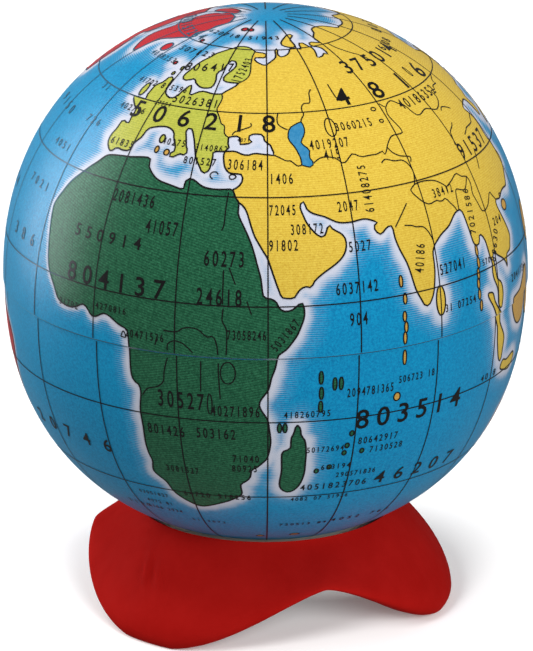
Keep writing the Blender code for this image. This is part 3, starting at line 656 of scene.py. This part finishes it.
coast_lines = [(softened(line, True), True) for line in CLOSED_COASTS]
coast_lines += [(softened(line, False), False) for line in OPEN_COASTS]
coast_points = np.array([q for line, closed in coast_lines + [(softened(ANTARCTICA, True), True)]
                         for q in dense(line, closed)])
north = coast_points[:, 1] >= 0
coast_xyz = np.vstack([on_globe(part[:, 0], curve_angle(part[:, 1]), half)[0]
                       for half, part in (("upper", coast_points[north]), ("lower", coast_points[~north]))])
tree = kdtree.KDTree(len(coast_xyz))
for index, place in enumerate(coast_xyz):
    tree.insert(Vector(place), index)
tree.balance()


def arc_table(half):
    """Length along the outline from the seam (mm) against curve angle."""
    a = np.linspace(0, math.pi / 2 - 1e-4, 2000)
    r, z, _, _ = profile(a, half)
    return a, np.concatenate([[0], np.cumsum(np.hypot(np.diff(r), np.diff(z)))])


ARC = {half: arc_table(half) for half in ("upper", "lower")}


def arc_of(uv, half):
    angle = np.abs((uv[:, 1] - 0.5) * math.pi)
    return np.interp(angle, *ARC[half])


def paled_by_painted_shine(uv):
    """How pale the ink is, a painted highlight: the photo's lines and marks are weak over the upper left of
    the ocean, where the shine on the left washes them out.
    """
    lon = uv[:, 0] * 360 - 180 + LON_FRONT
    height = (uv[:, 1] - 0.5) * 180
    inside = np.clip((-8 - lon) / 7, 0, 1) * np.clip((lon + 90) / 15, 0, 1) * np.clip((height - 4) / 10, 0, 1)
    return 0.68 * inside


def print_values(obj, uv, half):
    with_uv(obj, uv)
    with_value(obj, "arc", arc_of(uv, half))
    with_value(obj, "round", (uv[:, 0] - 0.5) * 2 * math.pi * SEAM_RADIUS * 3.0)  # in thirds of a mm


def make_skin(half, stop, rings, around):
    """The printed outer surface of one half, from the seam to the angle stop."""
    angle = np.concatenate([[0.0], np.linspace(0.006, 1.0, rings)]) * stop
    turns = np.linspace(0, 360, around + 1)
    lon, ang = np.meshgrid(turns + LON_FRONT - 180, angle)
    sign = 1 if half == "upper" else -1
    point, normal = on_globe(lon.ravel(), sign * ang.ravel(), half)
    wide = around + 1
    faces = []
    for k in range(rings):
        for j in range(around):
            quad = (k * wide + j, k * wide + j + 1, (k + 1) * wide + j + 1, (k + 1) * wide + j)
            faces.append(quad if sign > 0 else quad[::-1])
    across = (turns / 360)[None, :].repeat(rings + 1, 0).ravel()
    uv = np.stack([across, 0.5 + sign * ang.ravel() / math.pi], -1)
    skin = add_mesh(f"{half}_print_sea", point, faces, SEA, "globe", normal)
    print_values(skin, uv, half)
    # The white along the west coast of the green land is a narrow one.
    lons, lats = lon.ravel(), np.degrees(ang.ravel()) * sign
    narrow = np.clip((9 - lons) / 14, 0, 1) * np.clip((34 - lats) / 6, 0, 1) * (lons > -40)
    coast = np.array([tree.find(Vector(p))[2] / MM for p in point])
    with_value(skin, "coast", coast * (1 + narrow))


OPENING_ANGLE = math.acos((13.0 / 29.85) ** (LOWER[2] / 2))  # where the lower skin meets its opening
make_skin("upper", math.pi / 2 - 1e-3, 150, 420)
make_skin("lower", OPENING_ANGLE, 120, 420)

# Height of each printed layer over the skin, mm.
LAND_LIFT, WATER_LIFT = 0.022, 0.038
GRID_LIFT, RIVER_LIFT, COAST_LIFT, NUMBER_LIFT = 0.052, 0.053, 0.054, 0.056
AREAS = ((LANDS, "land", LAND, LAND_LIFT), (INLETS, "water", WATER, WATER_LIFT))


def make_areas(half):
    for group, shapes, materials, lift in AREAS:
        for key, outlines in group.items():
            if half == "lower" and key == "polar":
                continue  # the bottom of the map is cut away by the opening
            clipped = [clip_to_half(softened(outline, True), half) for outline in outlines]
            parts = [filled(outline, half, lift) for outline in clipped if len(outline) > 3]
            if not parts:
                continue
            v, n, f, uv = merged(parts)
            obj = add_mesh(f"{half}_print_{shapes}_{key}", v, facing_out(v, n, f), materials[key], "globe", n)
            print_values(obj, uv, half)


def print_in_ink(name, parts):
    v, n, f, uv = merged([part for part in parts if part is not None])
    obj = add_mesh(name, v, facing_out(v, n, f), INK, "globe", n)
    with_uv(obj, uv)
    # Paler ink under the shine on the left: a painted highlight.
    with_value(obj, "painted_shine_paling", paled_by_painted_shine(uv))


GRID_WIDE, COAST_WIDE, ISLE_WIDE, RIVER_WIDE = 0.145, 0.19, 0.16, 0.14  # mm
POLE_STOP = math.radians(86.0)  # the meridians end short of the pole
SOUTH_SHIFT = 1.15  # the southern meridians are drawn towards the front, degrees
OPEN_LINES = LINES + [CRETE, GUINEA_MARK, EUROPE_BORDER, SCAN_BORDER, ASIA_SUEZ]
LAKES = [CASPIAN] + ovals("59.7,45.5,1.7,2.4 77,48.3,.9,.45 77.5,45,.7,.4") + [
    pts("30.1,34.4 30.8,34.8 31.9,34.4 31.2,33.8 30.4,33.8")] + ovals(
    "31.5,-2,1.6,1.6 27.5,-7,.5,1.8 107,54,.6,1.6")


def make_lines(half):
    """Graticule, coasts, rivers and borders."""
    sign = 1 if half == "upper" else -1
    stop = POLE_STOP if half == "upper" else OPENING_ANGLE - 0.004
    parts = []
    for meridian in range(-180, 180, 20):
        shift = SOUTH_SHIFT * math.sin(math.radians(meridian - LON_FRONT)) if half == "lower" else 0.0
        line = np.stack([np.full(60, meridian - shift), np.zeros(60)], -1)
        parts.append(ribbon(line, half, GRID_WIDE, GRID_LIFT, angles=sign * np.linspace(0.002, stop, 60)))
    for parallel in (10, 30, 50, 70) if half == "upper" else (-10, -30, -50):
        line = [(lon, parallel) for lon in np.linspace(-180, 180, 181)]
        parts.append(ribbon(line, half, GRID_WIDE, GRID_LIFT))
    groups = [(line, closed, COAST_WIDE, COAST_LIFT) for line, closed in coast_lines]
    groups += [(softened(line, True), True, ISLE_WIDE, COAST_LIFT) for line in BARE_COASTS]
    groups += [(softened(line, False), False, RIVER_WIDE, RIVER_LIFT) for line in OPEN_LINES]
    groups += [(softened(line, True), True, RIVER_WIDE, RIVER_LIFT) for line in LAKES]
    for line, closed, width, lift in groups:
        parts += [ribbon(run, half, width, lift) for run in runs_on_half(line, half, closed)]
    print_in_ink(f"{half}_print_lines", parts)


for half in ("upper", "lower"):
    make_areas(half)
for half in ("upper", "lower"):
    make_lines(half)


# Plain index numbers stand where a map has its place names.
def digit_shapes():
    """Each digit's flat points, faces and width, for a type size of 1."""
    shapes = {}
    for digit in "0123456789":
        curve = bpy.data.curves.new("digit", "FONT")
        curve.body = digit
        curve.resolution_u = 3
        curve.offset = 0.010  # makes the strokes a little heavier
        holder = bpy.data.objects.new("digit", curve)
        bpy.context.scene.collection.objects.link(holder)
        bpy.context.view_layer.update()
        mesh = bpy.data.meshes.new_from_object(holder.evaluated_get(bpy.context.evaluated_depsgraph_get()))
        points = np.array([v.co[:2] for v in mesh.vertices])
        left, right = points[:, 0].min(), points[:, 0].max()
        shapes[digit] = (points - [left, 0], [tuple(p.vertices) for p in mesh.polygons], right - left)
        bpy.data.objects.remove(holder)
        bpy.data.meshes.remove(mesh)
        bpy.data.curves.remove(curve)
    return shapes


DIGITS = digit_shapes()


def number(lon, lat, text, height, pitch, tilt=0.0):
    """A row of digits centred on a place, height in mm, pitch in mm between digits, tilt in degrees."""
    half = "upper" if lat >= 0 else "lower"
    sign = 1 if half == "upper" else -1
    scale = height / 0.70
    tilt = math.radians(tilt)
    narrow = min(1.0, pitch * 0.86 / (0.62 * scale))
    centre, _ = on_globe(np.array([lon]), curve_angle([lat]), half)
    radius = math.hypot(centre[0, 0], centre[0, 1]) / MM
    arc0 = float(np.interp(abs(float(curve_angle([lat])[0])), *ARC[half])) * sign
    parts = []
    for k, mark in enumerate(text):
        if mark == "_":
            continue
        points, faces, wide = DIGITS[mark]
        x = (points[:, 0] - wide / 2) * scale * narrow + (k - (len(text) - 1) / 2) * pitch
        y = (points[:, 1] - 0.35) * scale
        x, y = x * math.cos(tilt) - y * math.sin(tilt), x * math.sin(tilt) + y * math.cos(tilt)
        arc = np.maximum(sign * (arc0 + y), 0.02)
        ang = sign * np.interp(arc, ARC[half][1], ARC[half][0])
        lons = lon + np.degrees(x / max(radius, 4.0))
        point, normals = on_globe(lons, ang, half, NUMBER_LIFT)
        parts.append((point, normals, faces, chart_uv(lons, ang)))
    return parts


# lon,lat,digits,height,pitch and, where the row is tilted, its angle; an underscore is a space
NUMBERS = """
17.5,47.3,506218,2.2,3.2 91,53,4816,2.4,4.7 98,61,375014,2.1,1.85 108,32.5,91537,1.9,1.6
4.5,12,804137,2.1,2.4 21,-6.7,30527,2.0,1.17 29.5,11.6,24618,1.85,1.08 30.3,18.5,60273,1.7,.96
73.5,-10.5,803514,2.4,2.55 80,-27,46207,1.9,2.6 -14,-20.5,20746,1.75,3.3 1,19.5,550914,1.35,1.7
6,27.5,2081436,1.4,.82 15,23,41057,1.55,.82 99,47.6,40186352,1.3,1.0 67.5,45.4,3060215,1.05,.68
58,41.5,4019207,1.15,.68 58,38.9,415,1.15,.68 34,37.1,306184,1.2,.68 43.5,34,1406,1.2,.7
43.5,27.5,72045,1.15,.62 49,23.8,308172,1.15,.64 43.5,21,91802,1.2,.68 61,20,5027,1.15,.72
59.5,27.5,2047,1.15,.66 65,30.5,61408275,1.05,.70,88 87,26.7,38412,1.0,.70 94,21.3,7021586,1.0,.76,80
75.5,16,40186,1.2,.68,76 84.5,13,527041,1.2,.72 100.5,13.5,88630,1.0,.8,60 59.5,12.7,6037142,1.3,.74
59.5,6.6,904,1.45,.78 86,5.2,31_07254,.9,.66 -7.5,5.2,31702,.8,.66 4.5,6.6,4270816,.75,.62
13,2.4,20471536,.9,.62 35.5,4.2,73058246,1.1,.56 43.6,4.2,5031867,.95,.62,50 33,-8,40271896,1.3,.70
17,-13,801426,1.3,.78 28.5,-12.7,503162,1.3,.78 35,-18.8,71040,1.0,.62 34.6,-21.6,80925,.95,.60
19.5,-23.2,3081527,.9,.58 27,-30.2,64720_318256,.85,.66 56.5,-27.4,4051823706,.95,.80
62.5,-5.5,2094781365,1.05,.58 73.8,-4.6,506723_18,.85,.56 48.5,-8.6,418260795,.8,.60
53,-16.7,50172694,.75,.55 65.5,-15.5,80642917,.9,.64 68,-18.2,7130528,.85,.62 56,-21.8,603194,.75,.6
61.5,-24.4,290571836,.75,.55 53.5,-30.8,4082_07_51926,.65,.52 8.5,-32,63051827,.6,.5 9,-34.2,4072_81,.6,.5
9.3,-36,5106_2934,.6,.5 51,-38.3,720513_84,.6,.62 22,-38,51_4072,.5,.6 -4,38.5,61835,.85,.72
12.5,41,40275,.8,.6 24,40.6,3140862,.75,.55 21.5,37.3,801527,.85,.66 -8,47,402716,.8,.7 2.5,50,27504,.6,.45
14,52,5026381,1.1,.82 -3.5,54.6,41702_815396,.8,.62 12,62.3,806417,1.3,1.0,10 28.5,62.5,1752403,1.0,.62,78
-3,66.5,507123,.9,.9 -42,72,803157264,1.3,1.1 -18,62,4018253,.8,.7 17,75.5,620718_51943,.8,.75
-29,24,7021,1.0,1.5 -29,14,386,1.4,2.6 -27,33,4051,.9,1.1 -20,41,726,.9,1.1 104,17.5,204,.9,.75
96,11.5,570,.7,.6 -28,49,31,.8,1.0 112,5,2041736,.9,.8 98,-9,40_8,.8,.9 70,-38,4052_763,.75,1.0
0,-36,3160,.7,.9 33,43,4071,.45,.36 -100,55,40_275,1.6,2.2 -100,40,81306,1.9,3.2 -102,24,5207,1.0,.8
-58,-10,61_40,1.8,2.4 -65,-35,7028,1.0,.8 -150,15,3057,2.2,3.6 -140,-15,1842,2.2,3.6 134,-25,50712,1.8,2.2
150,30,206,1.8,3.0 170,-30,473,1.8,3.0 150,64,8031,1.3,1.8 -110,65,2704,1.1,1.2 -90,-30,5061,1.6,2.6
-75,20,38,.9,.8 -42,40,9150,1.2,1.8 -50,20,604,1.4,2.0 -30,-40,2718,1.2,1.8 -100,-10,405,1.2,1.8
120,62,6108,1.1,1.1 132,-6,817,.8,.7"""


def number_rows(half):
    for row in NUMBERS.split():
        lon, lat, text, *sizes = row.split(",")
        if (float(lat) >= 0) == (half == "upper"):
            yield from number(float(lon), float(lat), text, *map(float, sizes))


for half in ("upper", "lower"):
    print_in_ink(f"{half}_print_numbers", number_rows(half))


# ---- turned trim
def ring(name, sections, material, body, sharp):
    """A closed ring through evenly spaced (radius, height) sections in mm; sharp is an angle in degrees."""
    rows, count = len(sections), len(sections[0])
    verts, faces, uv = [], [], []
    for k, section in enumerate(sections):
        w = 2 * math.pi * k / rows
        here, beyond = k * count, ((k + 1) % rows) * count
        for j, (r, z) in enumerate(section):
            verts.append((r * math.cos(w) * MM, r * math.sin(w) * MM, z * MM))
            faces.append((here + j, beyond + j, beyond + (j + 1) % count, here + (j + 1) % count))
            uv.append((k / rows, j / count))
    obj = add_mesh(name, verts, faces, material, body)
    bm = bmesh.new()
    bm.from_mesh(obj.data)
    bmesh.ops.recalc_face_normals(bm, faces=bm.faces)
    bm.to_mesh(obj.data)
    bm.free()
    obj.data.set_sharp_from_angle(angle=math.radians(sharp))
    with_uv(obj, uv)
    return obj


def edge_wire(name, radius, height, thick):
    """The rolled edge of a tin half, a thin round ring; sizes in mm."""
    turns = [2 * math.pi * k / 10 for k in range(10)]
    circle = [(radius + thick * math.cos(w), height + thick * math.sin(w)) for w in turns]
    ring(name, [circle] * 240, TIN_RIM, "globe", 40)


edge_wire("upper_rim_edge", 29.91, 39.37, 0.10)
edge_wire("lower_opening_edge", 13.05, 12.96, 0.16)
give(TIN_BARE, "upper_shell", "lower_shell")

# ---- the base
FOOT_ANGLE = math.radians(-9.8)  # direction of one of the three feet
RIM_RADIUS = 15.135  # the globe sits in the base here, mm
OUTER_STEPS, INNER_STEPS = 44, 16
GATE_TURN, GATE_HEIGHT = math.radians(223.6), 7.7  # the small moulding mark on the front left foot
GATE_MARKS = ((0.34, 0.0, 0.46, 1.3), (-0.14, 0.95, 0.38, 1.1), (0.16, 1.9, 0.50, 1.0))


def bezier(points, share):
    a, b, c, d = (np.array(p, float) for p in points)
    t = share
    return a * (1 - t) ** 3 + 3 * b * t * (1 - t) ** 2 + 3 * c * t * t * (1 - t) + d * t ** 3


def base_section(angle):
    """Closed (radius, height) outline of the base at one direction."""
    foot = ((1 + math.cos(3 * (angle - FOOT_ANGLE))) / 2) ** 0.71  # 1 at a foot, 0 at the top of an arch
    edge_radius = 19.2 + 0.7 * foot
    edge_height = max(7.9 * (1 - foot) - 0.3, 0.0)
    bulge = 3.7 + 1.7 * foot
    rim_angle = math.acos((15.0 / 30.0) ** (LOWER[2] / 2))
    rim_height = SEAM - 29.85 * math.sin(rim_angle) ** (2 / LOWER[2])
    rim = (RIM_RADIUS, rim_height - 0.33)
    swell = 1.9 * (0.3 + 0.7 * foot)
    edge = (edge_radius, edge_height)
    outer = (rim, (rim[0] + swell, rim[1] - 1.8), (edge_radius + bulge, edge_height), edge)
    section = [bezier(outer, k / OUTER_STEPS) for k in range(OUTER_STEPS + 1)]
    lip = edge_radius - 1.7
    under = max(8.3, edge_height + 0.6)
    corner = (13.7, under)
    shoulder = (corner[0] + 2.2 + 1.6 * foot, under - 0.25 * (under - edge_height))
    belly = (lip + bulge * 0.4, edge_height + 0.3 * (under - edge_height))
    # The lower edge is rounded over a little.
    last = section.pop()
    section += [last + np.array((-0.10, 0.0)), (edge_radius - 0.45, edge_height), (lip + 0.45, edge_height)]
    inner = ((lip, edge_height + 0.12), belly, shoulder, corner)
    section += [bezier(inner, k / INNER_STEPS) for k in range(INNER_STEPS + 1)]
    section += [(11.6, under), (11.3, under + 0.2), (11.3, 9.4), (11.5, 9.6), (14.1, 9.6), (14.3, 9.8),
                (14.3, rim[1] - 0.6), (14.5, rim[1] - 0.35)]
    return section


def with_gate(section, angle):
    """The section with the moulding mark raised on its outer curve."""
    out = []
    for j, (r, z) in enumerate(section):
        if j <= OUTER_STEPS:
            up = z - GATE_HEIGHT
            across = math.remainder(angle - GATE_TURN, 2 * math.pi) * r + 0.45 * up  # it leans
            for rise, aside, wide, tall in GATE_MARKS:
                r += rise * math.exp(-(((across - aside) / wide) ** 2 + (up / tall) ** 2))
        out.append((r, z))
    return out


turns = [2 * math.pi * k / 360 for k in range(360)]
base = ring("base_moulding", [with_gate(base_section(w), w) for w in turns], RED, "stand", 38)
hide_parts("base")

# ---- the pieces inside
WHITE = moulded("white_moulded", srgb(226, 224, 214), srgb(214, 211, 200), 0.42, 0.10)
BLACK = moulded("black_moulded", srgb(34, 34, 36), srgb(26, 26, 28), 0.40, 0.14)
ALLOY = metal("alloy_cast", srgb(196, 198, 202), srgb(170, 172, 177), 0.36, (1, 1, 6), 900, 0.2)
BLADE = metal("blade_ground", srgb(206, 208, 212), srgb(176, 179, 186), 0.22, (1, 1, 14), 700, 0.12)
SCREW = metal("screw_turned", srgb(190, 186, 176), srgb(156, 152, 144), 0.3, (1, 1, 1), 1500, 0.1)
give(WHITE, "turn_ring")
give(BLACK, "sharpener_holder")
give(ALLOY, "sharpener_body")
give(BLADE, "blade")
give(SCREW, "blade_screw")

# ---- floor, lights, camera
floor_nodes = Nodes("floor_white")
mottle = floor_nodes.ramp(floor_nodes.noise(6, 2.0), 0.3, 0.7)
tone = floor_nodes.mix(mottle, (0.93, 0.93, 0.93, 1), (0.95, 0.95, 0.95, 1))
floor_nodes.finish(tone, 0.65, specular=0.2)
floor_nodes.set(floor_nodes.shader, "Emission Color", (1.0, 0.985, 0.975, 1))
floor_nodes.set(floor_nodes.shader, "Emission Strength", 0.14)
FAR = 3.0  # half the floor's width, m
corners = [(-FAR, -FAR, 0), (FAR, -FAR, 0), (FAR, FAR, 0), (-FAR, FAR, 0)]
floor = add_mesh("floor", corners, [(0, 1, 2, 3)], floor_nodes.material, smooth=False)
# The floor stays white without lighting the object from below.
floor.visible_glossy = False
floor.visible_diffuse = False

world = bpy.data.worlds.new("studio")
bpy.context.scene.world = world
world.use_nodes = True
backdrop = world.node_tree.nodes["Background"].inputs
backdrop["Color"].default_value = (1.0, 1.0, 1.0, 1)
backdrop["Strength"].default_value = 0.24


def lamp_object(name, lamp, towards):
    obj = bpy.data.objects.new(name, lamp)
    bpy.context.scene.collection.objects.link(obj)
    obj.rotation_euler = towards.to_track_quat("-Z", "Y").to_euler()
    return obj


def soft_box(name, place, wide, tall, watts, colour=(1, 1, 1)):
    """A rectangular light of a size in metres, pointed at the globe."""
    lamp = bpy.data.lights.new(name, "AREA")
    lamp.shape = "RECTANGLE"
    lamp.size, lamp.size_y = wide, tall
    lamp.energy, lamp.color = watts, colour
    obj = lamp_object(name, lamp, MIDDLE - Vector(place))
    obj.location = place
    return obj


def soft_sun(name, azimuth, elevation, spread, strength):
    """Parallel light from an azimuth (180 = the left) and elevation; spread softens its shadows (degrees)."""
    lamp = bpy.data.lights.new(name, "SUN")
    lamp.energy, lamp.angle = strength, math.radians(spread)
    a, e = math.radians(azimuth), math.radians(elevation)
    source = Vector((math.cos(a) * math.cos(e), math.sin(a) * math.cos(e), math.sin(e)))
    return lamp_object(name, lamp, -source)


MIDDLE = Vector((0, 0, 0.04))
key = soft_box("key_left", (-0.62, 0.26, 0.17), 0.44, 0.52, 3.5, (1.0, 0.93, 0.88))
gloss = soft_box("gloss_left", (-0.62, 0.22, 0.18), 0.44, 0.62, 3.9, (0.88, 0.93, 1.0))
top = soft_box("top", (-0.08, -0.12, 0.80), 0.40, 0.40, 3.2)
fill = soft_box("fill_right", (0.45, -0.70, 0.22), 0.50, 0.50, 3.8)
gloss.visible_diffuse = False  # seen only as the shine on the left
for light in (key, top, fill):
    light.visible_glossy = False

# The floor has its own wash of light, so that it stays white while the object is lit softly. In the photo
# only the foot shades the floor sharply, so the low washes are stopped by the base alone.
only_floor = bpy.data.collections.new("lit_by_the_wash")
only_floor.objects.link(floor)
foot_only = bpy.data.collections.new("shades_the_floor")
foot_only.objects.link(base)
low = soft_sun("floor_wash_low", 238, 34, 18, 2.3)
arch = soft_sun("floor_wash_arch", 288, 26, 20, 2.6)
high = soft_sun("floor_wash_high", 200, 70, 50, 0.9)
for light in (low, arch, high):
    light.light_linking.receiver_collection = only_floor
for light in (low, arch):
    light.light_linking.blocker_collection = foot_only
not_floor = bpy.data.collections.new("not_lit_by_the_others")
not_floor.objects.link(floor)
not_floor.collection_objects[0].light_linking.link_state = "EXCLUDE"
for light in (key, gloss, top, fill):
    light.light_linking.receiver_collection = not_floor

camera = bpy.data.objects.new("camera", bpy.data.cameras.new("camera"))
bpy.context.scene.collection.objects.link(camera)
elevation, distance = math.radians(18.444), 0.66
aim = Vector((0, 0, SEAM * MM))
camera.location = aim + distance * Vector((0, -math.cos(elevation), math.sin(elevation)))
camera.rotation_euler = (math.pi / 2 - elevation, 0, 0)
optics = camera.data
optics.sensor_fit = "AUTO"
optics.sensor_width = 36.0
optics.lens = 318.6
optics.shift_x, optics.shift_y = 0.0015, -0.0809
optics.clip_start, optics.clip_end = 0.01, 30.0
bpy.context.scene.camera = camera
bpy.context.scene.view_settings.view_transform = "Standard"
